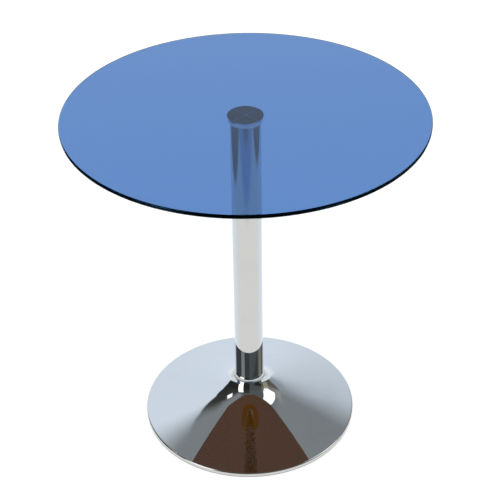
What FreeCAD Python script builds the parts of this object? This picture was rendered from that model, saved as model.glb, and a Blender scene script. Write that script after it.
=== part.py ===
import FreeCAD, Part
import math
import os
import Sketcher

# A round glass pedestal table: a tinted glass disc bonded to a turned hub, a chromed tube column,
# and a spun, chromed trumpet base that hides a cast-iron ballast.  One tie bolt, put in from
# below, clamps ballast, support tube, shell and column into a single stiff stack.
# The origin is on the floor, in the middle of the base, with +Z up.

document = FreeCAD.newDocument("PedestalTable")


# ---------------------------------------------------------------- driving dimensions
# Millimetres and degrees.
DIMENSIONS = [
    ("TableHeight", 725),
    ("TopDiameter", 700),
    ("TopThickness", 8),
    ("TopEdgeRound", 2.5),
    ("PadDiameter", 68),
    ("PadThickness", 0.4),
    ("PadChannel", 2.4),
    ("HubDiameter", 70),
    ("HubFootDiameter", 67),
    ("HubThickness", 11.5),
    ("HubSpigotDepth", 3),
    ("HubBoreDepth", 11),
    ("HubEdgeRound", 0.6),
    ("StudDiameter", 10),
    ("StudEngagement", 9),
    ("StudSocketAcross", 5),
    ("StudRecess", 1),
    ("ColumnDiameter", 60),
    ("ColumnWall", 1.5),
    ("SlipGap", 0.1),
    ("TopPlugThickness", 10),
    ("TopPlugGap", 0.5),
    ("BottomPlugThickness", 14),
    ("PlugRecess", 1),
    ("PlugChamfer", 1),
    ("CollarDiameter", 66.6),
    ("CollarHeight", 10.5),
    ("CollarFoot", 2),
    ("CollarTopWall", 0.7),
    ("BaseDiameter", 450),
    ("SheetThickness", 1.5),
    ("NeckHeight", 89),
    ("NeckCornerRound", 2),
    ("NeckSlope", 67),
    ("NeckConeEnd", 36),
    ("NeckBendEnd", 48),
    ("NeckBendRadius", 36),
    ("ThroatBendEnd", 79),
    ("ThroatBendRadius", 139),
    ("SkirtBendEnd", 125),
    ("SkirtBendRadius", 630),
    ("LandRadius", 1072),
    ("RimCornerRadius", 3),
    ("FloorRingHeight", 2),
    ("FloorRingWidth", 9),
    ("FloorRingLip", 4),
    ("FloorRingLipWall", 2.5),
    ("SupportDiameter", 48.3),
    ("SupportWall", 2.6),
    ("BallastDiameter", 380),
    ("BallastClearance", 6),
    ("BallastEdge", 5),
    ("BallastShoulderDiameter", 260),
    ("BallastDeck", 24),
    ("BallastBossFootDiameter", 100),
    ("BallastBossDiameter", 80),
    ("BallastBossTop", 34),
    ("BallastEdgeRound", 1.5),
    ("BoltPocketDiameter", 56),
    ("BoltPocketRoof", 20),
    ("BoltDiameter", 12),
    ("BoltHole", 13.5),
    ("BoltLength", 88),
    ("BoltHeadAcross", 18),
    ("BoltHeadHeight", 7.5),
    ("BoltEaseStart", 8.55),
    ("BoltEaseEnd", 11.7),
    ("BoltEaseHeight", 1.62),
    ("ClampWasherDiameter", 50),
    ("ClampWasherThickness", 4),
    ("ClampWasherRound", 0.8),
    ("SpringWasherBore", 12.3),
    ("SpringWasherDiameter", 21.1),
    ("SpringWasherThickness", 2.5),
    ("SpringWasherGap", 2),
    ("CutOverrun", 1),
]

sheet = document.addObject("Spreadsheet::Sheet", "Dimensions")
for row, (alias, number) in enumerate(DIMENSIONS, start=1):
    sheet.set("A%d" % row, alias)
    sheet.set("B%d" % row, str(number))
    sheet.setAlias("B%d" % row, alias)
document.recompute()


class Size:
    """A number together with the sheet expression that gives it."""

    def __init__(self, number, text):
        self.number = number
        self.text = text

    def __add__(self, other):
        other = as_size(other)
        return Size(self.number + other.number, "(%s + %s)" % (self.text, other.text))

    def __sub__(self, other):
        other = as_size(other)
        return Size(self.number - other.number, "(%s - %s)" % (self.text, other.text))

    def __mul__(self, other):
        other = as_size(other)
        return Size(self.number * other.number, "(%s * %s)" % (self.text, other.text))

    def __truediv__(self, other):
        other = as_size(other)
        return Size(self.number / other.number, "(%s / %s)" % (self.text, other.text))


def as_size(value):
    return value if isinstance(value, Size) else Size(value, repr(value))


size = {alias: Size(float(number), "Dimensions." + alias) for alias, number in DIMENSIONS}


def bind(target, path, value, unit=""):
    """Drive a property, placement coordinate or sketch constraint from the sheet."""
    target.setExpression(path, value.text + unit)


# ---------------------------------------------------------------- heights of the stack
glass_underside = size["TableHeight"] - size["TopThickness"]
hub_top = glass_underside - size["PadThickness"]
column_top = hub_top - size["HubThickness"]
column_foot = size["NeckHeight"]
top_plug_top = column_top - size["HubSpigotDepth"] - size["TopPlugGap"]
top_plug_foot = top_plug_top - size["TopPlugThickness"]
bottom_plug_foot = column_foot + size["PlugRecess"]
land_underside = size["NeckHeight"] - size["SheetThickness"]
clamp_washer_foot = size["BoltPocketRoof"] - size["ClampWasherThickness"]
spring_washer_foot = clamp_washer_foot - size["SpringWasherThickness"]
column_radius = size["ColumnDiameter"] / 2
column_bore_radius = column_radius - size["ColumnWall"]
plug_radius = column_bore_radius - size["SlipGap"]


# ---------------------------------------------------------------- building blocks
def new_body(label):
    body = document.addObject("PartDesign::Body", label)
    body.Label = label
    return body


def origin_plane(body, role):
    return next(item for item in body.Origin.OriginFeatures if item.Role == role)


def new_sketch(body, name, role="XZ_Plane"):
    sketch = body.newObject("Sketcher::SketchObject", name)
    sketch.AttachmentSupport = [(origin_plane(body, role), "")]
    sketch.MapMode = "FlatFace"
    return sketch


def dimension(sketch, constraint, value, unit=""):
    """Add a named constraint whose value comes from the sheet."""
    index = sketch.addConstraint(constraint)
    name = "size_%d" % index
    sketch.renameConstraint(index, name)
    bind(sketch, "Constraints." + name, value, unit)


def place_point(sketch, geometry, position, across, along):
    """Hold one end of a line at a place measured from the sketch's origin."""
    for kind, axis, value in (("DistanceX", -2, across), ("DistanceY", -1, along)):
        if value.number == 0:
            sketch.addConstraint(Sketcher.Constraint("PointOnObject", geometry, position, axis))
        else:
            held = Sketcher.Constraint(kind, -1, 1, geometry, position, value.number)
            dimension(sketch, held, value)


def closed_outline(sketch, corners):
    """Draw straight sides through the corners, each a pair of sheet-driven coordinates."""
    corners = [(as_size(across), as_size(along)) for across, along in corners]
    count = len(corners)
    for index, (across, along) in enumerate(corners):
        next_across, next_along = corners[(index + 1) % count]
        start = FreeCAD.Vector(across.number, along.number, 0)
        end = FreeCAD.Vector(next_across.number, next_along.number, 0)
        sketch.addGeometry(Part.LineSegment(start, end), False)
    for index, (across, along) in enumerate(corners):
        joint = Sketcher.Constraint("Coincident", index, 2, (index + 1) % count, 1)
        sketch.addConstraint(joint)
        place_point(sketch, index, 1, across, along)


def circle(sketch, radius):
    """Draw a circle about the sketch's origin."""
    centre = FreeCAD.Vector(0, 0, 0)
    round_edge = Part.Circle(centre, FreeCAD.Vector(0, 0, 1), radius.number)
    index = sketch.addGeometry(round_edge, False)
    sketch.addConstraint(Sketcher.Constraint("Coincident", index, 3, -1, 1))
    dimension(sketch, Sketcher.Constraint("Radius", index, radius.number), radius)


def hexagon(sketch, across_flats):
    """Draw a regular hexagon about the sketch's origin, flats left and right."""
    corner_radius = across_flats.number / math.sqrt(3)
    corners = []
    for step in range(6):
        angle = math.radians(60 * step + 30)
        spoke = FreeCAD.Vector(math.cos(angle), math.sin(angle), 0)
        corners.append(spoke * corner_radius)
    for step in range(6):
        sketch.addGeometry(Part.LineSegment(corners[step], corners[(step + 1) % 6]), False)
    guide = Part.Circle(FreeCAD.Vector(0, 0, 0), FreeCAD.Vector(0, 0, 1), corner_radius)
    sketch.addGeometry(guide, True)
    sketch.addConstraint(Sketcher.Constraint("Coincident", 6, 3, -1, 1))
    for step in range(6):
        sketch.addConstraint(Sketcher.Constraint("Coincident", step, 2, (step + 1) % 6, 1))
        sketch.addConstraint(Sketcher.Constraint("PointOnObject", step, 1, 6))
    for step in range(1, 6):
        sketch.addConstraint(Sketcher.Constraint("Equal", 0, step))
    sketch.addConstraint(Sketcher.Constraint("Vertical", 5))
    flats = Sketcher.Constraint("DistanceX", 2, 1, 5, 2, across_flats.number)
    dimension(sketch, flats, across_flats)


def revolve(body, sketch):
    turned = body.newObject("PartDesign::Revolution", "Turned")
    turned.Profile = sketch
    turned.ReferenceAxis = (sketch, ["V_Axis"])
    turned.Angle = 360
    return turned


def turned_body(label, corners):
    """A body of revolution with straight sides; corners are radius and height."""
    body = new_body(label)
    sketch = new_sketch(body, "Section")
    closed_outline(sketch, corners)
    revolve(body, sketch)
    return body


def raise_body(body, height):
    bind(body, "Placement.Base.z", height, " * 1 mm")


def circular_edges(shape, radius, height):
    """Names of the circular edges about the Z axis with this radius at this height."""
    names = []
    for index, edge in enumerate(shape.Edges, start=1):
        curve = edge.Curve
        if not isinstance(curve, Part.Circle):
            continue
        if abs(curve.Radius - radius) < 0.01 and abs(curve.Center.z - height) < 0.01:
            names.append("Edge%d" % index)
    return names


def dress(body, kind, name, edges, amount):
    """Add a Fillet or Chamfer to edges given as (radius, height) pairs."""
    document.recompute()
    base = body.Tip
    names = []
    for radius, height in edges:
        names += circular_edges(base.Shape, radius, height)
    feature = body.newObject("PartDesign::" + kind, name)
    feature.Base = (base, names)
    if kind == "Fillet":
        feature.Radius = amount.number
        bind(feature, "Radius", amount)
    else:
        feature.Size = amount.number
        bind(feature, "Size", amount)
    return feature


def cut_removed(body, pocket):
    """Stop if a pocket has taken nothing away."""
    document.recompute()
    if pocket.Shape.Volume >= pocket.BaseFeature.Shape.Volume - 0.01:
        raise RuntimeError("%s: %s cuts nothing" % (body.Label, pocket.Label))


# ---------------------------------------------------------------- glass top
# 8 mm float glass, ground to a disc, its edge rounded and polished.
def make_glass_top():
    body = new_body("glass_top")
    sketch = new_sketch(body, "Disc", "XY_Plane")
    circle(sketch, size["TopDiameter"] / 2)
    pad = body.newObject("PartDesign::Pad", "Plate")
    pad.Profile = sketch
    bind(pad, "Length", size["TopThickness"])
    rim = size["TopDiameter"].number / 2
    edges = [(rim, 0), (rim, size["TopThickness"].number)]
    dress(body, "Fillet", "PolishedEdge", edges, size["TopEdgeRound"])
    raise_body(body, glass_underside)
    return body


# ---------------------------------------------------------------- bonding pads
# Four quarter-round films of clear-curing adhesive; the cross between them lets the air out.
def make_bonding_pads():
    film = document.addObject("Part::Cylinder", "Film")
    bind(film, "Radius", size["PadDiameter"] / 2)
    bind(film, "Height", size["PadThickness"])
    overrun = size["CutOverrun"]
    start = FreeCAD.Vector(
        -size["PadDiameter"].number / 2 - overrun.number,
        -size["PadChannel"].number / 2,
        -overrun.number,
    )
    upright = FreeCAD.Vector(0, 0, 1)
    channels = []
    for number, angle in enumerate((45, 135), start=1):
        channel = document.addObject("Part::Box", "Channel%d" % number)
        bind(channel, "Length", size["PadDiameter"] + overrun * 2)
        bind(channel, "Width", size["PadChannel"])
        bind(channel, "Height", size["PadThickness"] + overrun * 2)
        centred = FreeCAD.Placement(start, FreeCAD.Rotation())
        turned = FreeCAD.Placement(FreeCAD.Vector(), FreeCAD.Rotation(upright, angle))
        channel.Placement = turned.multiply(centred)
        channels.append(channel)
    cross = document.addObject("Part::Fuse", "Cross")
    cross.Base, cross.Tool = channels
    pads = document.addObject("Part::Cut", "bonding_pads")
    pads.Base = film
    pads.Tool = cross
    pads.Label = "bonding_pads"
    raise_body(pads, hub_top)
    return pads


# ---------------------------------------------------------------- hub disc
# Turned steel disc, its side drawn in a little towards the column, with a spigot that centres
# it in the tube and a blind tapped bore for the stud.
def make_hub_disc():
    spigot_radius = column_bore_radius - size["SlipGap"]
    bore_radius = size["StudDiameter"] / 2 + size["SlipGap"]
    bore_top = size["HubBoreDepth"] - size["HubSpigotDepth"]
    spigot_foot = size["HubSpigotDepth"] * -1
    body = turned_body("hub_disc", [
        (bore_radius, spigot_foot),
        (spigot_radius, spigot_foot),
        (spigot_radius, 0),
        (size["HubFootDiameter"] / 2, 0),
        (size["HubDiameter"] / 2, size["HubThickness"]),
        (0, size["HubThickness"]),
        (0, bore_top),
        (bore_radius, bore_top),
    ])
    edges = [
        (size["HubFootDiameter"].number / 2, 0),
        (size["HubDiameter"].number / 2, size["HubThickness"].number),
    ]
    dress(body, "Fillet", "EasedEdges", edges, size["HubEdgeRound"])
    raise_body(body, column_top)
    return body


# ---------------------------------------------------------------- hub stud
# M10 stud with a hexagon socket, screwed into the top plug and then into the hub.
def make_hub_stud():
    body = new_body("hub_stud")
    stud_foot = top_plug_foot + size["StudRecess"]
    stud_top = column_top + size["StudEngagement"] - size["HubSpigotDepth"]
    length = stud_top - stud_foot
    sketch = new_sketch(body, "Shank", "XY_Plane")
    circle(sketch, size["StudDiameter"] / 2)
    pad = body.newObject("PartDesign::Pad", "Rod")
    pad.Profile = sketch
    bind(pad, "Length", length)
    radius = size["StudDiameter"].number / 2
    dress(body, "Chamfer", "Ends", [(radius, 0), (radius, length.number)], size["StudDiameter"] / 10)
    document.recompute()
    socket_sketch = new_sketch(body, "SocketOutline", "XY_Plane")
    hexagon(socket_sketch, size["StudSocketAcross"])
    socket = body.newObject("PartDesign::Pocket", "Socket")
    socket.Profile = socket_sketch
    bind(socket, "Length", size["StudSocketAcross"])
    socket.Reversed = True
    cut_removed(body, socket)
    raise_body(body, stud_foot)
    return body


# ---------------------------------------------------------------- plugs welded into the column
# Each is a turned steel disc, tapped right through.
def make_plug(label, foot, thickness, thread_diameter):
    bore_radius = thread_diameter / 2 + size["SlipGap"]
    body = turned_body(label, [
        (bore_radius, 0),
        (plug_radius, 0),
        (plug_radius, thickness),
        (bore_radius, thickness),
    ])
    rim = plug_radius.number
    dress(body, "Chamfer", "EasedRim", [(rim, 0), (rim, thickness.number)], size["PlugChamfer"])
    raise_body(body, foot)
    return body


# ---------------------------------------------------------------- column
# Welded steel tube, polished and chromed; it stands on the shell's flat neck.
def make_column_tube():
    body = turned_body("column_tube", [
        (column_bore_radius, 0),
        (column_radius, 0),
        (column_radius, column_top - column_foot),
        (column_bore_radius, column_top - column_foot),
    ])
    raise_body(body, column_foot)
    return body


# ---------------------------------------------------------------- neck collar
# Chromed ring, pushed over the tube's foot to hide where it meets the base.
def make_neck_collar():
    bore = column_radius + size["SlipGap"] / 2
    outside = size["CollarDiameter"] / 2
    top_outside = bore + size["CollarTopWall"]
    foot, top = size["CollarFoot"], size["CollarHeight"]
    body = new_body("neck_collar")
    sketch = new_sketch(body, "Section")
    # The shoulder is one arc that leaves the foot upright and leans in to the top.
    inward = outside.number - top_outside.number
    rise = top.number - foot.number
    shoulder_radius = (inward ** 2 + rise ** 2) / (2 * inward)
    centre = FreeCAD.Vector(outside.number - shoulder_radius, foot.number, 0)
    floor = as_size(0)
    corners = [(top_outside, top), (bore, top), (bore, floor), (outside, floor), (outside, foot)]
    for (x0, y0), (x1, y1) in zip(corners[:-1], corners[1:]):
        start = FreeCAD.Vector(x0.number, y0.number, 0)
        sketch.addGeometry(Part.LineSegment(start, FreeCAD.Vector(x1.number, y1.number, 0)), False)
    swing = math.asin(rise / shoulder_radius)
    shoulder_circle = Part.Circle(centre, FreeCAD.Vector(0, 0, 1), shoulder_radius)
    sketch.addGeometry(Part.ArcOfCircle(shoulder_circle, 0, swing), False)
    for side in range(3):
        sketch.addConstraint(Sketcher.Constraint("Coincident", side, 2, side + 1, 1))
    sketch.addConstraint(Sketcher.Constraint("Tangent", 3, 2, 4, 1))
    sketch.addConstraint(Sketcher.Constraint("Coincident", 4, 2, 0, 1))
    for side, (across, along) in enumerate(corners[:-1]):
        place_point(sketch, side, 1, across, along)
    place_point(sketch, 3, 2, outside, foot)
    revolve(body, sketch)
    raise_body(body, size["NeckHeight"])
    return body


# ---------------------------------------------------------------- base shell
# Sheet steel spun to a trumpet and chromed: a flat neck, a short steep cone, a bend, a throat, a
# skirt, a nearly flat land and a turned-down rim.  Every stretch runs into the next without a
# corner.  A slope is the angle of the surface below the horizontal.
def slope_after(slope, run, radius):
    """Slope reached after an outward run along an arc that flattens the surface."""
    return math.asin(math.sin(slope) - run / radius)


def make_base_shell():
    body = new_body("base_shell")
    sketch = new_sketch(body, "Section")
    neck_radius = (size["CollarDiameter"] / 2).number
    neck_height = size["NeckHeight"].number
    floor_height = size["FloorRingHeight"].number
    rim_radius = (size["BaseDiameter"] / 2).number
    corner = size["RimCornerRadius"].number
    cone_end = size["NeckConeEnd"].number
    bend_ends = []
    bend_radii = []
    for name in ("Neck", "Throat", "Skirt"):
        bend_ends.append(size[name + "BendEnd"].number)
        bend_radii.append(size[name + "BendRadius"].number)

    slopes = [math.radians(size["NeckSlope"].number)]
    for start, end, radius in zip([cone_end] + bend_ends, bend_ends, bend_radii):
        slopes.append(slope_after(slopes[-1], end - start, radius))
    # The land ends where it is tangent to the rim's corner.
    land_radius = size["LandRadius"].number
    land_centre = bend_ends[-1] + land_radius * math.sin(slopes[-1])
    slopes.append(math.asin((land_centre - rim_radius + corner) / (land_radius + corner)))

    # Geometry is drawn from the neck outwards and then back along the floor and up the axis.
    upward = FreeCAD.Vector(0, 0, 1)

    def hollow_arc(start, slope_in, slope_out, radius):
        towards_centre = FreeCAD.Vector(math.sin(slope_in), math.cos(slope_in), 0)
        centre = start + towards_centre * radius
        turn_in = 1.5 * math.pi - slope_in
        turn_out = 1.5 * math.pi - slope_out
        whole = Part.Circle(centre, upward, radius)
        sketch.addGeometry(Part.ArcOfCircle(whole, turn_in, turn_out), False)
        away = FreeCAD.Vector(math.sin(slope_out), math.cos(slope_out), 0)
        return centre - away * radius

    neck_edge = FreeCAD.Vector(neck_radius, neck_height, 0)
    cone_run = cone_end - neck_radius
    place = neck_edge + FreeCAD.Vector(cone_run, -cone_run * math.tan(slopes[0]), 0)
    sketch.addGeometry(Part.LineSegment(neck_edge, place), False)
    for slope_in, slope_out, radius in zip(slopes, slopes[1:], bend_radii + [land_radius]):
        place = hollow_arc(place, slope_in, slope_out, radius)
    rim_slope = slopes[-1]
    corner_centre = place - FreeCAD.Vector(math.sin(rim_slope), math.cos(rim_slope), 0) * corner
    corner_circle = Part.Circle(corner_centre, upward, corner)
    sketch.addGeometry(Part.ArcOfCircle(corner_circle, 0, math.pi / 2 - rim_slope), False)
    straight_sides = [
        FreeCAD.Vector(rim_radius, corner_centre.y, 0),
        FreeCAD.Vector(rim_radius, floor_height, 0),
        FreeCAD.Vector(0, floor_height, 0),
        FreeCAD.Vector(0, neck_height, 0),
        neck_edge,
    ]
    for start, end in zip(straight_sides, straight_sides[1:]):
        sketch.addGeometry(Part.LineSegment(start, end), False)

    cone, neck_bend, throat, skirt, land, rim_corner, lip, floor_line, axis_line, neck_line = range(10)
    for inner, outer in ((cone, neck_bend), (neck_bend, throat), (throat, skirt), (skirt, land)):
        sketch.addConstraint(Sketcher.Constraint("Tangent", inner, 2, outer, 1))
    sketch.addConstraint(Sketcher.Constraint("Tangent", land, 2, rim_corner, 2))
    sketch.addConstraint(Sketcher.Constraint("Tangent", rim_corner, 1, lip, 1))
    for first, second in ((lip, floor_line), (floor_line, axis_line), (axis_line, neck_line)):
        sketch.addConstraint(Sketcher.Constraint("Coincident", first, 2, second, 1))
    sketch.addConstraint(Sketcher.Constraint("Coincident", neck_line, 2, cone, 1))
    sketch.addConstraint(Sketcher.Constraint("Vertical", lip))
    sketch.addConstraint(Sketcher.Constraint("Horizontal", floor_line))
    sketch.addConstraint(Sketcher.Constraint("Horizontal", neck_line))
    sketch.addConstraint(Sketcher.Constraint("PointOnObject", axis_line, 1, -2))
    sketch.addConstraint(Sketcher.Constraint("PointOnObject", axis_line, 2, -2))

    for geometry, position, value in (
        (cone, 1, size["CollarDiameter"] / 2),
        (cone, 2, size["NeckConeEnd"]),
        (neck_bend, 2, size["NeckBendEnd"]),
        (throat, 2, size["ThroatBendEnd"]),
        (skirt, 2, size["SkirtBendEnd"]),
        (lip, 2, size["BaseDiameter"] / 2),
    ):
        held = Sketcher.Constraint("DistanceX", -1, 1, geometry, position, value.number)
        dimension(sketch, held, value)
    for geometry, position, value in (
        (cone, 1, size["NeckHeight"]),
        (lip, 2, size["FloorRingHeight"]),
    ):
        held = Sketcher.Constraint("DistanceY", -1, 1, geometry, position, value.number)
        dimension(sketch, held, value)
    for geometry, alias in (
        (neck_bend, "NeckBendRadius"),
        (throat, "ThroatBendRadius"),
        (skirt, "SkirtBendRadius"),
        (land, "LandRadius"),
        (rim_corner, "RimCornerRadius"),
    ):
        held = Sketcher.Constraint("Radius", geometry, size[alias].number)
        dimension(sketch, held, size[alias])
    tilt = Sketcher.Constraint("Angle", cone, -slopes[0])
    dimension(sketch, tilt, size["NeckSlope"] * -1, " * 1 deg")

    revolve(body, sketch)
    dress(body, "Fillet", "NeckCorner", [(neck_radius, neck_height)], size["NeckCornerRound"])
    document.recompute()

    solid = body.Tip
    underside = None
    for index, face in enumerate(solid.Shape.Faces, start=1):
        if abs(face.BoundBox.ZMax - size["FloorRingHeight"].number) < 0.01:
            underside = "Face%d" % index
    wall = body.newObject("PartDesign::Thickness", "Wall")
    wall.Base = (solid, [underside])
    wall.Reversed = True
    wall.Join = 1
    bind(wall, "Value", size["SheetThickness"])
    document.recompute()

    hole_sketch = new_sketch(body, "BoltHoleOutline", "XY_Plane")
    circle(hole_sketch, size["BoltHole"] / 2)
    hole = body.newObject("PartDesign::Pocket", "BoltHole")
    hole.Profile = hole_sketch
    hole.Type = "ThroughAll"
    hole.Reversed = True
    cut_removed(body, hole)
    return body


# ---------------------------------------------------------------- floor ring
# Soft grey strip under the shell's raw edge; its inner lip holds it in place by friction.
def make_floor_ring():
    outside = size["BaseDiameter"] / 2
    lip_outside = outside - size["SheetThickness"]
    return turned_body("floor_ring", [
        (outside - size["FloorRingWidth"], 0),
        (outside, 0),
        (outside, size["FloorRingHeight"]),
        (lip_outside, size["FloorRingHeight"]),
        (lip_outside, size["FloorRingHeight"] + size["FloorRingLip"]),
        (lip_outside - size["FloorRingLipWall"], size["FloorRingHeight"] + size["FloorRingLip"]),
        (lip_outside - size["FloorRingLipWall"], size["FloorRingHeight"]),
        (outside - size["FloorRingWidth"], size["FloorRingHeight"]),
    ])


# ---------------------------------------------------------------- support tube
# Plain steel tube that carries the clamping force from the ballast up to the shell's neck.
def make_support_tube():
    outside = size["SupportDiameter"] / 2
    inside = outside - size["SupportWall"]
    length = land_underside - size["BallastBossTop"]
    body = turned_body("support_tube", [
        (inside, 0),
        (outside, 0),
        (outside, length),
        (inside, length),
    ])
    raise_body(body, size["BallastBossTop"])
    return body


# ---------------------------------------------------------------- ballast
# Grey-iron casting that follows the underside of the shell and stays clear of the floor.
def make_ballast():
    clearance = size["BallastClearance"]
    body = turned_body("ballast", [
        (size["BoltHole"] / 2, size["BoltPocketRoof"]),
        (size["BoltPocketDiameter"] / 2, size["BoltPocketRoof"]),
        (size["BoltPocketDiameter"] / 2, clearance),
        (size["BallastDiameter"] / 2, clearance),
        (size["BallastDiameter"] / 2, clearance + size["BallastEdge"]),
        (size["BallastShoulderDiameter"] / 2, size["BallastDeck"]),
        (size["BallastBossFootDiameter"] / 2, size["BallastDeck"]),
        (size["BallastBossDiameter"] / 2, size["BallastBossTop"]),
        (size["BoltHole"] / 2, size["BallastBossTop"]),
    ])
    rim = size["BallastDiameter"].number / 2
    edge_top = (clearance + size["BallastEdge"]).number
    edges = [
        (rim, clearance.number),
        (rim, edge_top),
        (size["BallastBossDiameter"].number / 2, size["BallastBossTop"].number),
    ]
    dress(body, "Fillet", "CastEdges", edges, size["BallastEdgeRound"])
    return body


# ---------------------------------------------------------------- tie bolt and washers
# An M12 hexagon bolt with a spring washer under its head, and a large plain washer that spreads
# the load over the ballast's pocket.
def make_tie_bolt():
    body = new_body("tie_bolt")
    head_sketch = new_sketch(body, "HeadOutline", "XY_Plane")
    hexagon(head_sketch, size["BoltHeadAcross"])
    head = body.newObject("PartDesign::Pad", "Head")
    head.Profile = head_sketch
    bind(head, "Length", size["BoltHeadHeight"])
    # The underside of the head is turned to a cone that eases its six corners.
    ease_sketch = new_sketch(body, "EaseOutline")
    ease_start, ease_end = size["BoltEaseStart"], size["BoltEaseEnd"]
    closed_outline(ease_sketch, [(ease_start, 0), (ease_end, 0), (ease_end, size["BoltEaseHeight"])])
    ease = body.newObject("PartDesign::Groove", "EasedCorners")
    ease.Profile = ease_sketch
    ease.ReferenceAxis = (ease_sketch, ["V_Axis"])
    ease.Angle = 360
    cut_removed(body, ease)
    shank_sketch = new_sketch(body, "ShankOutline", "XY_Plane")
    circle(shank_sketch, size["BoltDiameter"] / 2)
    shank = body.newObject("PartDesign::Pad", "Shank")
    shank.Profile = shank_sketch
    length = size["BoltHeadHeight"] + size["BoltLength"]
    bind(shank, "Length", length)
    tip = [(size["BoltDiameter"].number / 2, length.number)]
    dress(body, "Chamfer", "Tip", tip, size["BoltDiameter"] / 10)
    raise_body(body, spring_washer_foot - size["BoltHeadHeight"])
    return body


def washer_section(bore, outside, thickness):
    return [(bore, 0), (outside, 0), (outside, thickness), (bore, thickness)]


def make_clamp_washer():
    bore, outside = size["BoltHole"] / 2, size["ClampWasherDiameter"] / 2
    thickness = size["ClampWasherThickness"]
    body = turned_body("clamp_washer", washer_section(bore, outside, thickness))
    dress(body, "Fillet", "StampedEdges", [(outside.number, 0)], size["ClampWasherRound"])
    raise_body(body, clamp_washer_foot)
    return body


def make_spring_washer():
    bore, outside = size["SpringWasherBore"] / 2, size["SpringWasherDiameter"] / 2
    thickness = size["SpringWasherThickness"]
    body = turned_body("spring_washer", washer_section(bore, outside, thickness))
    slit_sketch = new_sketch(body, "SlitOutline", "XY_Plane")
    half_gap = size["SpringWasherGap"] / 2
    closed_outline(slit_sketch, [
        (0, half_gap * -1),
        (outside + size["CutOverrun"], half_gap * -1),
        (outside + size["CutOverrun"], half_gap),
        (0, half_gap),
    ])
    slit = body.newObject("PartDesign::Pocket", "Slit")
    slit.Profile = slit_sketch
    slit.Type = "ThroughAll"
    slit.Reversed = True
    cut_removed(body, slit)
    raise_body(body, spring_washer_foot)
    return body


pieces = [
    make_glass_top(),
    make_bonding_pads(),
    make_hub_disc(),
    make_hub_stud(),
    make_plug("top_plug", top_plug_foot, size["TopPlugThickness"], size["StudDiameter"]),
    make_column_tube(),
    make_plug("bottom_plug", bottom_plug_foot, size["BottomPlugThickness"], size["BoltDiameter"]),
    make_neck_collar(),
    make_base_shell(),
    make_floor_ring(),
    make_support_tube(),
    make_ballast(),
    make_tie_bolt(),
    make_clamp_washer(),
    make_spring_washer(),
]
document.recompute()


# ---------------------------------------------------------------- check and write
for item in document.Objects:
    if "Invalid" in item.State or "Error" in item.State:
        raise RuntimeError("%s has not recomputed: %s" % (item.Label, item.State))
for piece in pieces:
    if piece.Shape.isNull() or not piece.Shape.isValid():
        raise RuntimeError("%s has no valid shape" % piece.Label)

os.makedirs("parts", exist_ok=True)
for piece in pieces:
    piece.Shape.exportStep(os.path.join("parts", piece.Label + ".step"))
    box = piece.Shape.BoundBox
    extent = "z %.2f to %.2f, across %.2f" % (box.ZMin, box.ZMax, box.XLength)
    print("%-14s %s, volume %.0f" % (piece.Label, extent, piece.Shape.Volume))
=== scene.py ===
import math

import bmesh
import bpy
from mathutils import Matrix, Vector, noise


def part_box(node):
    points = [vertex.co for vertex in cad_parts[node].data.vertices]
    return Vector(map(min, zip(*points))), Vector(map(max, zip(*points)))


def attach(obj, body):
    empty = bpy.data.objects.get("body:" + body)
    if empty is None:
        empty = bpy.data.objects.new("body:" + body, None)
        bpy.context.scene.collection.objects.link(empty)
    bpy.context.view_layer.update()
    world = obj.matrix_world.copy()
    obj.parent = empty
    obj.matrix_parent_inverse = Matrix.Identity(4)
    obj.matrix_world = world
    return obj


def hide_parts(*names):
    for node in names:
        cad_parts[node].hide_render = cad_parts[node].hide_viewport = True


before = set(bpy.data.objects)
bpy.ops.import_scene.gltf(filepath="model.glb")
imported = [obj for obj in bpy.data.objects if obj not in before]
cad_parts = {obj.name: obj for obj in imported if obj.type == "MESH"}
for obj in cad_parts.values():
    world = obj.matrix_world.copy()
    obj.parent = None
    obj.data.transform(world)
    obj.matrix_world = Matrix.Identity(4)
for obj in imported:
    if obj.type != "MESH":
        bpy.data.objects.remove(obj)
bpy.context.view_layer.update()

# ---------------------------------------------------------------- base shell
# A trumpet spun from one sheet of 1.5 mm steel, polished and chromed.  Its flat neck is clamped
# under the column, and its turned-down rim stands on a soft ring.  A slope is how far the skin
# leans from level; the skin is a chain of bends that run into each other without a corner.
shell_low, shell_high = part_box("base_shell")
base_radius = max(shell_high.x, shell_high.y)
neck_height = shell_high.z
neck_radius = max(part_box("neck_collar")[1].x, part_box("neck_collar")[1].y)
sheet_wall = 0.0015
bolt_hole_radius = 0.00675
neck_slope, neck_cone_end = math.radians(67), 0.036
neck_bend_end, neck_bend = 0.048, 0.036
throat_end, throat_bend = 0.079, 0.139
skirt_end, skirt_bend = 0.125, 0.630
land_bend = 1.072
rim_corner, neck_corner = 0.003, 0.002
clamped_flat, rim_tuck = 0.002, 0.0006
shell_steps = 384


def turn(name, outline, steps):
    """Turn a closed outline of (radius, height) points about the upright axis into a smooth mesh."""
    shape = bmesh.new()
    points = [shape.verts.new((radius, 0, height)) for radius, height in outline]
    edges = [shape.edges.new((points[i - 1], points[i])) for i in range(len(points))]
    bmesh.ops.spin(
        shape,
        geom=points + edges,
        cent=(0, 0, 0),
        axis=(0, 0, 1),
        angle=math.tau,
        steps=steps,
        use_merge=True,
    )
    bmesh.ops.remove_doubles(shape, verts=shape.verts, dist=1e-7)
    return finish_mesh(name, shape)


def finish_mesh(name, shape, sharp_angle=32):
    """Turn a bmesh into an object: faces outward, shaded smooth, sharp where it really is."""
    bmesh.ops.recalc_face_normals(shape, faces=shape.faces)
    mesh = bpy.data.meshes.new(name)
    shape.to_mesh(mesh)
    shape.free()
    mesh.shade_smooth()
    mesh.set_sharp_from_angle(angle=math.radians(sharp_angle))
    piece = bpy.data.objects.new(name, mesh)
    bpy.context.scene.collection.objects.link(piece)
    return piece


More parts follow.
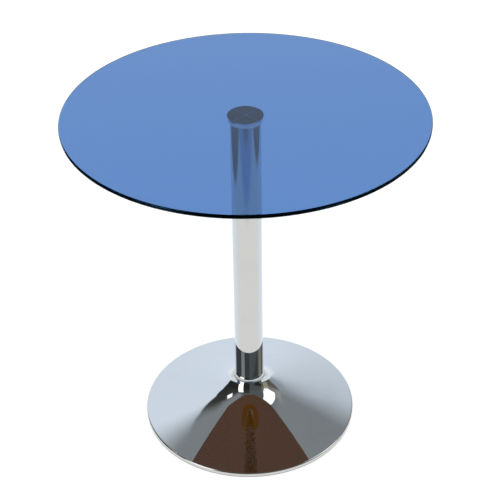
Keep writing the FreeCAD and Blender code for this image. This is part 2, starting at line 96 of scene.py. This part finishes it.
def bend(skin, slope_out, radius, step=math.radians(1.2)):
    """Carry a skin of (radius, height, slope) on round a bend: hollow if radius > 0, else bulging."""
    across, up, slope_in = skin[-1]
    centre_across = across + radius * math.sin(slope_in)
    centre_up = up + radius * math.cos(slope_in)
    parts = max(6, math.ceil(abs(slope_out - slope_in) / step))
    for part in range(1, parts + 1):
        slope = slope_in + (slope_out - slope_in) * part / parts
        skin.append((centre_across - radius * math.sin(slope), centre_up - radius * math.cos(slope), slope))


def slope_after(slope, run, radius):
    """The slope reached after an outward run along a hollow bend."""
    return math.asin(math.sin(slope) - run / radius)


slope_off_neck = slope_after(neck_slope, neck_bend_end - neck_cone_end, neck_bend)
slope_off_throat = slope_after(slope_off_neck, throat_end - neck_bend_end, throat_bend)
slope_off_skirt = slope_after(slope_off_throat, skirt_end - throat_end, skirt_bend)
land_centre = skirt_end + land_bend * math.sin(slope_off_skirt)
rim_slope = math.asin((land_centre - base_radius + rim_corner) / (land_bend + rim_corner))

corner_across = neck_radius - neck_corner * math.tan(neck_slope / 2)
skin = [(bolt_hole_radius, neck_height, 0.0), (corner_across - clamped_flat, neck_height, 0.0)]
skin.append((corner_across, neck_height, 0.0))
bend(skin, neck_slope, -neck_corner, math.radians(8))
cone_start = skin[-1]
for share in (0.25, 0.5, 0.75, 1.0):
    run = share * (neck_cone_end - cone_start[0])
    skin.append((cone_start[0] + run, cone_start[1] - run * math.tan(neck_slope), neck_slope))
bend(skin, slope_off_neck, neck_bend)
bend(skin, slope_off_throat, throat_bend, math.radians(0.6))
bend(skin, slope_off_skirt, skirt_bend, math.radians(0.3))
bend(skin, rim_slope, land_bend, math.radians(0.2))
bend(skin, math.pi / 2, -rim_corner, math.radians(8))
rim_top = skin[-1][1]
skin.append((base_radius, rim_top - rim_tuck, math.pi / 2))
skin.append((base_radius, shell_low.z, math.pi / 2))
inside = [(a - sheet_wall * math.sin(s), u - sheet_wall * math.cos(s)) for a, u, s in reversed(skin)]
base_shell = turn("base_shell_spun", [(a, u) for a, u, s in skin] + inside, shell_steps)


class Wire:
    """A socket of a node tree.  Sums on numbers add Math nodes, sums on vectors Vector Math."""

    def __init__(self, tree, socket=None):
        self.tree = tree
        self.socket = socket

    def node(self, kind, settings=(), sockets=(), output=0):
        """Add any node: its settings first, then the values or links of its sockets."""
        made = self.tree.nodes.new(kind)
        for name, value in dict(settings).items():
            setattr(made, name, value)
        for name, value in dict(sockets).items():
            if isinstance(value, Wire):
                self.tree.links.new(value.socket, made.inputs[name])
            else:
                made.inputs[name].default_value = value
        return Wire(self.tree, made.outputs[output] if made.outputs else None)

    def is_vector(self):
        return self.socket.type in ("VECTOR", "RGBA")

    def sum(self, operation, *terms):
        """One step of maths: a Vector Math node if any term is a vector, else a Math node."""
        vectors = [isinstance(t, tuple) or (isinstance(t, Wire) and t.is_vector()) for t in terms]
        if not any(vectors):
            return self.node("ShaderNodeMath", {"operation": operation}, enumerate(terms))
        spread = [(t, t, t) if isinstance(t, (int, float)) else t for t in terms]
        return self.node("ShaderNodeVectorMath", {"operation": operation}, enumerate(spread))

    def __add__(self, other):
        return self.sum("ADD", self, other)

    def __radd__(self, other):
        return self.sum("ADD", other, self)

    def __sub__(self, other):
        return self.sum("SUBTRACT", self, other)

    def __rsub__(self, other):
        return self.sum("SUBTRACT", other, self)

    def __mul__(self, other):
        return self.sum("MULTIPLY", self, other)

    def __rmul__(self, other):
        return self.sum("MULTIPLY", other, self)

    def at_least(self, other):
        return self.sum("MAXIMUM", self, other)

    def at_most(self, other):
        return self.sum("MINIMUM", self, other)

    def rise(self, low, high):
        """0 below low, 1 above high, and an even S-curve between them."""
        limits = {"Value": self, "From Min": low, "From Max": high}
        return self.node("ShaderNodeMapRange", {"interpolation_type": "SMOOTHSTEP"}, limits)

    def between(self, low, high, soft):
        """1 between low and high, easing to 0 over soft on either side."""
        return self.rise(low - soft, low + soft) * (1 - self.rise(high - soft, high + soft))

    def part(self, axis):
        """One coordinate of a vector."""
        return self.node("ShaderNodeSeparateXYZ", {}, {"Vector": self}, "XYZ".index(axis))

    def cloud(self, scale, detail=2.0, roughness=0.5):
        """Soft random patches, 0 to 1, of a vector's own place."""
        sockets = {"Vector": self, "Scale": scale, "Detail": detail, "Roughness": roughness}
        return self.node("ShaderNodeTexNoise", {}, sockets)

    def streaks(self, scale, detail=3.0):
        """Random streaks, 0 to 1, along a single number."""
        sockets = {"W": self, "Scale": scale, "Detail": detail}
        return self.node("ShaderNodeTexNoise", {"noise_dimensions": "1D"}, sockets)

    def mix(self, first, second):
        """A colour: first where this mask is 0, second where it is 1."""
        sockets = {0: self, 6: colour(first), 7: colour(second)}
        return self.node("ShaderNodeMix", {"data_type": "RGBA"}, sockets, 2)


def colour(value):
    """Give a red, green and blue value the fourth number that a colour socket wants."""
    return (*value, 1.0) if isinstance(value, tuple) and len(value) == 3 else value


def new_finish(name):
    """An empty material, with its tree and the piece's own coordinates in metres."""
    material = bpy.data.materials.new(name)
    material.use_nodes = True
    material.node_tree.nodes.clear()
    tree = Wire(material.node_tree)
    place = tree.node("ShaderNodeTexCoord", output=3)
    return material, tree, place


def surface(tree, varying, fixed, relief=None, relief_depth=0.0, volume=None):
    """A Principled surface, with relief in metres felt by the light through a Bump node."""
    sockets = dict(varying)
    if relief is not None:
        sockets["Normal"] = tree.node("ShaderNodeBump", {}, {"Height": relief, "Distance": relief_depth})
    shader = tree.node("ShaderNodeBsdfPrincipled", {}, {**fixed, **sockets})
    ends = {"Surface": shader}
    if volume is not None:
        ends["Volume"] = volume
    tree.node("ShaderNodeOutputMaterial", {}, ends)


def mirror_chrome(name, follows_turning):
    """Bright chrome over polished steel: faint polishing lines, handling haze, a slow ripple."""
    material, tree, place = new_finish(name)
    across, depth, up = place.part("X"), place.part("Y"), place.part("Z")
    out = tree.sum("SQRT", across * across + depth * depth)
    around = tree.sum("ARCTAN2", depth, across)
    lines = (out + up).streaks(900.0) if follows_turning else around.streaks(70.0)
    haze = place.cloud(9.0, 5.0, 0.62).rise(0.52, 0.78)
    ripple = place.cloud(26.0, 1.0)
    bright = (0.555, 0.562, 0.572)
    dulled = (0.520, 0.530, 0.545)
    varying = {
        "Base Color": haze.mix(bright, dulled),
        "Roughness": 0.014 + haze * 0.035 + lines * 0.012,
    }
    surface(tree, varying, {"Metallic": 1.0}, ripple, 0.00004)
    return material


def dress(piece, material, slot, *nodes):
    """Give a piece its finish, and say which CAD nodes it stands for."""
    piece.data.materials.clear()
    piece.data.materials.append(material)
    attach(piece, "root")
    if nodes:
        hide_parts(*nodes)


spun_chrome = mirror_chrome("spun_chrome", True)
dress(base_shell, spun_chrome, "chrome", "base_shell")

# ---------------------------------------------------------------- floor ring
# A soft grey strip, moulded in one ring with an L section.  The shell's raw edge stands on it, and
# its inner lip grips the inside of the rim by friction.
ring_low, ring_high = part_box("floor_ring")
ring_outside = base_radius
ring_width, lip_wall = 0.009, 0.0025
ring_inside = ring_outside - ring_width
lip_outside = ring_outside - sheet_wall
lip_inside = lip_outside - lip_wall
eased = 0.0005
ring_foot, ring_step, ring_top = ring_low.z, shell_low.z, ring_high.z
floor_ring = turn("floor_ring_moulded", [
    (ring_inside, ring_foot + eased),
    (ring_inside + eased, ring_foot),
    (ring_outside - 2 * eased, ring_foot),
    (ring_outside - eased * 0.6, ring_foot + eased * 0.4),
    (ring_outside, ring_foot + 1.6 * eased),
    (ring_outside, ring_step),
    (lip_outside, ring_step),
    (lip_outside, ring_top - eased),
    (lip_outside - eased, ring_top),
    (lip_inside + eased, ring_top),
    (lip_inside, ring_top - eased),
    (lip_inside, ring_step),
    (ring_inside + eased, ring_step),
    (ring_inside, ring_step - eased),
], 256)

grey_strip, tree, place = new_finish("grey_soft_strip")
scuffs = place.cloud(160.0, 4.0, 0.6)
grain = place.cloud(1800.0, 2.0)
surface(tree, {
    "Base Color": scuffs.rise(0.35, 0.75).mix((0.20, 0.205, 0.21), (0.30, 0.305, 0.31)),
    "Roughness": 0.55 + scuffs * 0.25,
}, {"Specular IOR Level": 0.35}, grain, 0.00008)
dress(floor_ring, grey_strip, "soft_strip", "floor_ring")

# ---------------------------------------------------------------- ballast
# A grey-iron casting, shot-blasted and primed black.  It follows the underside of the shell, keeps
# clear of the floor, and has a raised boss that carries the support tube.
ballast_low, ballast_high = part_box("ballast")
ballast_radius = max(ballast_high.x, ballast_high.y)
ballast_foot, boss_top = ballast_low.z, ballast_high.z
pocket_radius, pocket_roof = 0.028, 0.020
edge_height = 0.005
shoulder_height = 0.024
shoulder_outside, shoulder_inside = 0.130, 0.050
boss_radius = 0.040
cast_corner = 0.0015
coarse_lump, fine_lump = 0.00012, 0.00006


def eased_outline(corners, radius, parts=4):
    """Round every corner of a closed outline; a corner given with False stays sharp."""
    rounded = []
    for index, (across, up, round_it) in enumerate(corners):
        if not round_it:
            rounded.append((across, up))
            continue
        here = Vector((across, up))
        before = (Vector(corners[index - 1][:2]) - here).normalized()
        after = (Vector(corners[(index + 1) % len(corners)][:2]) - here).normalized()
        half_turn = before.angle(after) / 2
        setback = radius / math.tan(half_turn)
        centre = here + (before + after).normalized() * (radius / math.sin(half_turn))
        start, end = here + before * setback - centre, here + after * setback - centre
        for part in range(parts + 1):
            spoke = start.lerp(end, part / parts).normalized() * radius
            rounded.append(tuple(centre + spoke))
    return rounded


def spaced(outline, longest):
    """Divide the long sides of an outline."""
    divided = []
    for index, point in enumerate(outline):
        start, end = Vector(point), Vector(outline[(index + 1) % len(outline)])
        parts = max(1, math.ceil((end - start).length / longest))
        divided += [tuple(start.lerp(end, part / parts)) for part in range(parts)]
    return divided


ballast_outline = eased_outline([
    (bolt_hole_radius, pocket_roof, False),
    (pocket_radius, pocket_roof, True),
    (pocket_radius, ballast_foot, True),
    (ballast_radius, ballast_foot, True),
    (ballast_radius, ballast_foot + edge_height, True),
    (shoulder_outside, shoulder_height, True),
    (shoulder_inside, shoulder_height, True),
    (boss_radius, boss_top, True),
    (bolt_hole_radius, boss_top, False),
], cast_corner)
ballast = turn("ballast_cast", spaced(ballast_outline, 0.004), 192)
for vertex in ballast.data.vertices:
    lump = noise.noise(vertex.co * 90) * coarse_lump + noise.noise(vertex.co * 350) * fine_lump
    inward = Vector((vertex.co.x, vertex.co.y, 0)).normalized()
    if ballast_foot + 0.001 < vertex.co.z < boss_top - 0.001:
        vertex.co -= inward * abs(lump)

primed_iron, tree, place = new_finish("primed_cast_iron")
pits = place.cloud(700.0, 3.0, 0.65)
stains = place.cloud(14.0, 5.0, 0.6)
surface(tree, {
    "Base Color": stains.rise(0.45, 0.8).mix((0.030, 0.031, 0.033), (0.060, 0.050, 0.043)),
    "Roughness": 0.62 + pits * 0.3,
}, {"Specular IOR Level": 0.4}, pits, 0.0007)
dress(ballast, primed_iron, "cast_iron", "ballast")

# ---------------------------------------------------------------- tie bolt, washers, support tube
# Stock fasteners with bright zinc plate.  The bolt goes in from below through washer, ballast,
# support tube and shell into the column's foot.
zinc_plate, tree, place = new_finish("bright_zinc_plate")
drift = place.cloud(60.0, 4.0, 0.6)
spangle = place.cloud(900.0, 2.0)
surface(tree, {
    "Base Color": drift.mix((0.52, 0.53, 0.53), (0.63, 0.62, 0.58)),
    "Roughness": 0.24 + drift * 0.18 + spangle * 0.06,
}, {"Metallic": 1.0}, spangle, 0.00006)


def refinish(node, material):
    """Give a CAD node a better finish and leave its shape alone."""
    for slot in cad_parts[node].material_slots:
        slot.material = material


for node in ("tie_bolt", "clamp_washer", "spring_washer", "support_tube"):
    refinish(node, zinc_plate)

# ---------------------------------------------------------------- column
# A welded steel tube, ground, polished lengthways and chromed, with a tapped plug welded flush
# inside each end.  It stands on the shell's neck.
tube_low, tube_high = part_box("column_tube")
tube_radius = max(tube_high.x, tube_high.y)
tube_wall = 0.0015
tube_bore = tube_radius - tube_wall
end_chamfer = 0.0004
tube_outline = [
    (tube_bore, tube_low.z + end_chamfer),
    (tube_bore + end_chamfer, tube_low.z),
    (tube_radius - end_chamfer, tube_low.z),
    (tube_radius, tube_low.z + end_chamfer),
    (tube_radius, tube_high.z - end_chamfer),
    (tube_radius - end_chamfer, tube_high.z),
    (tube_bore + end_chamfer, tube_high.z),
    (tube_bore, tube_high.z - end_chamfer),
]
column = turn("column_tube_polished", spaced(tube_outline, 0.05), 256)
drawn_chrome = mirror_chrome("drawn_chrome", False)
dress(column, drawn_chrome, "chrome", "column_tube")
for node in ("top_plug", "bottom_plug"):
    refinish(node, zinc_plate)

# ---------------------------------------------------------------- neck collar
# A turned ring, chromed with the base and pushed down over the tube's foot.  Its outside leaves
# the neck upright and leans in to the tube in one round shoulder.
collar_low, collar_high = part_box("neck_collar")
collar_gap, collar_lip, foot_chamfer = 0.00005, 0.0007, 0.0004
collar_bore = tube_radius + collar_gap
collar_foot_height = 0.002
shoulder_in = neck_radius - collar_bore - collar_lip
shoulder_up = collar_high.z - collar_low.z - collar_foot_height
shoulder = (shoulder_in ** 2 + shoulder_up ** 2) / (2 * shoulder_in)
shoulder_swing = math.asin(shoulder_up / shoulder)
collar_outline = [(collar_bore, collar_low.z), (neck_radius - foot_chamfer, collar_low.z)]
collar_outline.append((neck_radius, collar_low.z + foot_chamfer))
shoulder_parts = 12
for part in range(shoulder_parts + 1):
    swing = shoulder_swing * part / shoulder_parts
    across = neck_radius - shoulder + shoulder * math.cos(swing)
    up = collar_low.z + collar_foot_height + shoulder * math.sin(swing)
    collar_outline.append((across, up))
collar_outline.append((collar_bore, collar_high.z))
neck_collar = turn("neck_collar_turned", collar_outline, 256)
dress(neck_collar, spun_chrome, "chrome", "neck_collar")

# ---------------------------------------------------------------- hub disc and stud
# A turned steel disc with a fine lathe finish, its side drawn in a little towards the tube and
# chromed.  The stud screws into the column's top plug and then into the disc's blind bore.
hub_low, hub_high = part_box("hub_disc")
hub_foot = tube_high.z
hub_radius, hub_foot_radius = 0.035, 0.0335
spigot_clearance, hub_corner = 0.0001, 0.0006
spigot_radius = tube_bore - spigot_clearance
stud_bore, bore_top = 0.0051, hub_foot + 0.008
hub_disc = turn("hub_disc_turned", eased_outline([
    (stud_bore, hub_low.z, False),
    (spigot_radius, hub_low.z, True),
    (spigot_radius, hub_foot, False),
    (hub_foot_radius, hub_foot, True),
    (hub_radius, hub_high.z, True),
    (0.0, hub_high.z, False),
    (0.0, bore_top, False),
    (stud_bore, bore_top, False),
], hub_corner), 256)
dress(hub_disc, spun_chrome, "satin_steel", "hub_disc")

turned_face, tree, place = new_finish("turned_steel_face")
across, depth = place.part("X"), place.part("Y")
rings = tree.sum("SQRT", across * across + depth * depth).streaks(2600.0)
surface(tree, {
    "Base Color": rings.mix((0.50, 0.51, 0.53), (0.62, 0.63, 0.65)),
    "Roughness": 0.22 + rings * 0.16,
}, {"Metallic": 1.0}, rings, 0.00002)
hub_disc.data.materials.append(turned_face)
for face in hub_disc.data.polygons:
    if face.normal.z > 0.99 and face.center.z > hub_high.z - 0.0002:
        face.material_index = 1
refinish("hub_stud", zinc_plate)

# ---------------------------------------------------------------- bonding pads
# Four quarter-round films of cured adhesive between disc and glass.  The cross between them let
# the air out when the glass was pressed down, and each film has crept to a soft outline.
pads_low, pads_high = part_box("bonding_pads")
pad_radius = max(pads_high.x, pads_high.y)
half_channel = 0.0012
film_corner = 0.00088
film_tuck, tuck_height = 0.00015, 0.00012
wetting = 0.00002
film_middle = Vector((pad_radius * 0.6, 0, 0))
film_levels = (
    (film_tuck, pads_low.z),
    (0.0, pads_low.z + tuck_height),
    (0.0, pads_high.z + wetting),
)


def quarter_outline(parts=28):
    """The outline of the quarter about +X, its corners rounded."""
    reach_angle = math.asin(half_channel / pad_radius)
    edge = math.radians(45) - reach_angle
    corners = [(half_channel * math.sqrt(2), 0.0)]
    arc = [-edge + 2 * edge * part / parts for part in range(parts + 1)]
    corners += [(pad_radius * math.cos(angle), pad_radius * math.sin(angle)) for angle in arc]
    marked = [(x, y, index in (0, 1, parts + 1)) for index, (x, y) in enumerate(corners)]
    return eased_outline(marked, film_corner, 5)


pads = bmesh.new()
for quarter in range(4):
    facing = Matrix.Rotation(quarter * math.pi / 2, 4, "Z")
    rims = []
    for inset, height in film_levels:
        rim = []
        for x, y in quarter_outline():
            corner = Vector((x, y, 0))
            drawn_in = (film_middle - corner).normalized() * inset
            rim.append(pads.verts.new(facing @ (Vector((x, y, height)) + drawn_in)))
        rims.append(rim)
    for lower, upper in zip(rims, rims[1:]):
        for index in range(len(lower)):
            pads.faces.new((lower[index - 1], lower[index], upper[index], upper[index - 1]))
    pads.faces.new(rims[0][::-1])
    pads.faces.new(rims[-1])
bonding_pads = finish_mesh("bonding_pads_cured", pads)

cured_adhesive, tree, place = new_finish("cured_adhesive")
flow = place.cloud(120.0, 4.0, 0.6)
surface(tree, {
    "Base Color": flow.rise(0.3, 0.8).mix((0.010, 0.055, 0.20), (0.020, 0.09, 0.30)),
    "Roughness": 0.30 + flow * 0.25,
}, {"Specular IOR Level": 0.2}, flow, 0.0002)
dress(bonding_pads, cured_adhesive, "adhesive", "bonding_pads")

# ---------------------------------------------------------------- glass top
# A disc of 8 mm float glass, tinted blue right through, its edge ground round and polished.
# Light that runs through the thickness is hardly dimmed, and light that runs along it is lost,
# so the edge looks nearly black.
glass_low, glass_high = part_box("glass_top")
glass_radius = max(glass_high.x, glass_high.y)
edge_round, edge_run = 0.0025, 0.001
flat_radius = glass_radius - edge_round - edge_run
glass_corners = [
    (0.0, glass_low.z, False),
    (flat_radius, glass_low.z, False),
    (glass_radius, glass_low.z, True),
    (glass_radius, glass_high.z, True),
    (flat_radius, glass_high.z, False),
    (0.0, glass_high.z, False),
]
glass_top = turn("glass_top_polished", eased_outline(glass_corners, edge_round, 9), 512)

tinted_glass, tree, place = new_finish("blue_tinted_glass")
wiped = (place * (1.0, 3.2, 1.0)).cloud(5.0, 6.0, 0.62).rise(0.50, 0.80)
tint = {"Color": (0.0, 0.353, 0.715, 1.0), "Density": 262.0}
surface(tree, {"Roughness": wiped * 0.012}, {
    "Base Color": (1.0, 1.0, 1.0, 1.0),
    "Transmission Weight": 1.0,
    "IOR": 1.5,
    "Specular Tint": (0.15, 0.50, 0.75, 1.0),
}, volume=tree.node("ShaderNodeVolumeAbsorption", {}, tint))
dress(glass_top, tinted_glass, "tinted_glass", "glass_top")

# ---------------------------------------------------------------- studio
# A white floor that runs on past the horizon, and a room of soft light.  Seen straight, both are
# plain and pale, and from below the floor isn't there.  What chrome and glass mirror is dressed
# by direction, the way a set is dressed round anything shiny.
floor_shape = bmesh.new()
bmesh.ops.create_grid(floor_shape, x_segments=2, y_segments=2, size=30.0)
floor = finish_mesh("studio_floor", floor_shape)
floor_white, tree, place = new_finish("floor_white")
mirror_bounces, seen_from_below = 11, 6
aside, along = place.part("X"), place.part("Y")

# In a mirror the paper ends to the left and right, carries a painted blue shade in front and fades behind.
left_end = (1 - aside.rise(-1.0, -0.9)) * (1 - (aside + along * 1.2).rise(-0.1, 0.1))
right_end = aside.rise(1.0, 1.1) * (aside - along).rise(-0.1, 0.1)
paper_end = (left_end + right_end).at_most(1.0)
near_paper = along.rise(-0.10, 0.02).mix((1.12, 1.11, 1.06), (1.10, 1.17, 1.22))
all_paper = along.rise(0.5, 1.2).mix(near_paper, (1.02, 1.13, 1.24))
dressed_floor_and_painted_shade = paper_end.mix(all_paper, (0.05, 0.10, 0.16))
# painted blue shade on the floor in front, shown only to mirrored rays
dressed_floor_and_painted_shade = along.rise(-1.0, -0.72).mix((0.32, 0.58, 0.86), dressed_floor_and_painted_shade)
dressed_floor_and_painted_shade = along.rise(-1.3, -1.1).mix((0.05, 0.06, 0.07), dressed_floor_and_painted_shade)
plain_floor = (0.70 + place.cloud(3.0, 3.0) * 0.04).mix((0.0, 0.0, 0.0), (1.0, 1.0, 0.99))
in_mirror = tree.node("ShaderNodeLightPath", output=mirror_bounces).at_most(1.0)
surface(tree, {
    "Base Color": in_mirror.mix((0.42, 0.42, 0.42), (0.0, 0.0, 0.0)),
    "Emission Color": in_mirror.mix(plain_floor, dressed_floor_and_painted_shade),
    "Alpha": 1 - tree.node("ShaderNodeNewGeometry", output=seen_from_below),
}, {
    "Roughness": 0.9,
    "Specular IOR Level": 0.0,
    "Emission Strength": 1.0,
})
floor.data.materials.append(floor_white)

world = bpy.data.worlds.new("studio")
bpy.context.scene.world = world
world.use_nodes = True
world.node_tree.nodes.clear()
world.cycles.sampling_method = "NONE"
room = Wire(world.node_tree)
light_path = "ShaderNodeLightPath"
diffuse_ray, glass_crossings = 2, 13
bounces = room.node(light_path, output=mirror_bounces)

# Bearing is degrees to the right of straight behind the table, and height is degrees above level.
toward = room.node("ShaderNodeTexCoord", output=0)
degrees = 180 / math.pi
bearing = room.sum("ARCTAN2", toward.part("X"), toward.part("Y")) * degrees
height = room.sum("ARCSINE", toward.part("Z")) * degrees

# The pale sweep of paper behind the table, darker to the right, its left edge leaning.
leftward = bearing - (height - 30.0).at_least(0.0) * 0.6
lifted = height + bearing.at_least(0.0) * 0.3
dimming = 1 - bearing.rise(2.0, 24.0) * 0.18 - bearing.rise(20.0, 40.0) * 0.42
sweep = leftward.rise(-51.0, -48.5) * dimming
sweep = sweep * (1 - bearing.rise(44.0, 50.0)) * (1 - lifted.rise(43.0, 56.0))

# The grey ceiling, the dim room, and a wall to the right.
overhead = lifted - (1 - bearing.rise(-50.0, -38.0)) * 5.0
ceiling = overhead.rise(44.0, 54.0) * (bearing.between(-125.0, 60.0, 14.0) * 0.7 + 0.3)
room_fill = height.rise(20.0, 52.0) * 0.03 + 0.03
right_wall = bearing.between(47.0, 108.0, 2.0) * 0.12 + bearing.between(71.0, 96.0, 3.0) * 0.26
right_wall = right_wall * (1 - height.rise(44.0, 56.0))

# A tall window behind the left shoulder, a slanting bank of lamps on the right, a small lamp.
window = bearing.between(-143.0, -114.0, 1.0) * height.between(-12.0, 48.5, 1.0)
slant = height + bearing * 0.2
bank = bearing.between(60.0, 95.5, 1.0) * slant.between(53.0, 90.0, 1.0) * (1 - height.rise(62.0, 65.0))
spot = bearing.between(-82.5, -67.5, 2.0) * height.between(47.5, 53.5, 1.5)

# What is mirrored twice shows the lamps dimmer and the room softer.
mirrored_twice = (bounces - 1).at_least(0.0).at_most(1.0)
lamps = (window + bank + spot) * (1 - mirrored_twice * 0.8)
glow = sweep * (1.01, 1.13, 1.26) + ceiling * (0.26, 0.29, 0.31)
glow = glow + right_wall * (1.1, 1.0, 0.75) + room_fill * (1.0, 1.05, 0.95)
glow = glow + lamps * (2.1, 2.1, 2.05) + mirrored_twice * (0.07, 0.085, 0.09)


def background(light):
    """A background shader of one colour or of a wire."""
    return room.node("ShaderNodeBackground", {}, {"Color": light, "Strength": 1.0})


# Rays that are mirrored and then pass up through the glass meet a warm brown ceiling.
mirrored = bounces.at_most(1.0) * (1 - room.node(light_path, output=diffuse_ray))
passed_glass = room.node(light_path, output=glass_crossings).at_most(1.0) * height.rise(46.0, 48.0)
warm_ceiling = background((1.08, 0.20, 0.008, 1.0))
dressed = room.node("ShaderNodeMixShader", {}, {0: passed_glass, 1: background(glow), 2: warm_ceiling})
plain = background((1.0, 1.0, 1.0, 1.0))
chosen = room.node("ShaderNodeMixShader", {}, {0: mirrored, 1: plain, 2: dressed})
room.node("ShaderNodeOutputWorld", {}, {"Surface": chosen})

bpy.context.scene.view_settings.view_transform = "Standard"

# ---------------------------------------------------------------- camera
# A long lens in front of the table, above the glass and looking down on it.
stand_point = Vector((-0.0027, -2.1372, 1.9000))
tilt_down = math.radians(34.673)
roll = math.radians(-0.9387)
look = Vector((0, math.cos(tilt_down), -math.sin(tilt_down)))
level = Vector((1, 0, 0))
upward = level.cross(look)
sideways = level * math.cos(roll) + upward * math.sin(roll)
topward = upward * math.cos(roll) - level * math.sin(roll)
lens = bpy.data.cameras.new("long_lens")
lens.lens = 94.545
lens.sensor_width = 36.0
camera = bpy.data.objects.new("camera", lens)
aim = Matrix((sideways, topward, -look)).transposed().to_4x4()
camera.matrix_world = Matrix.Translation(stand_point) @ aim
bpy.context.scene.collection.objects.link(camera)
bpy.context.scene.camera = camera
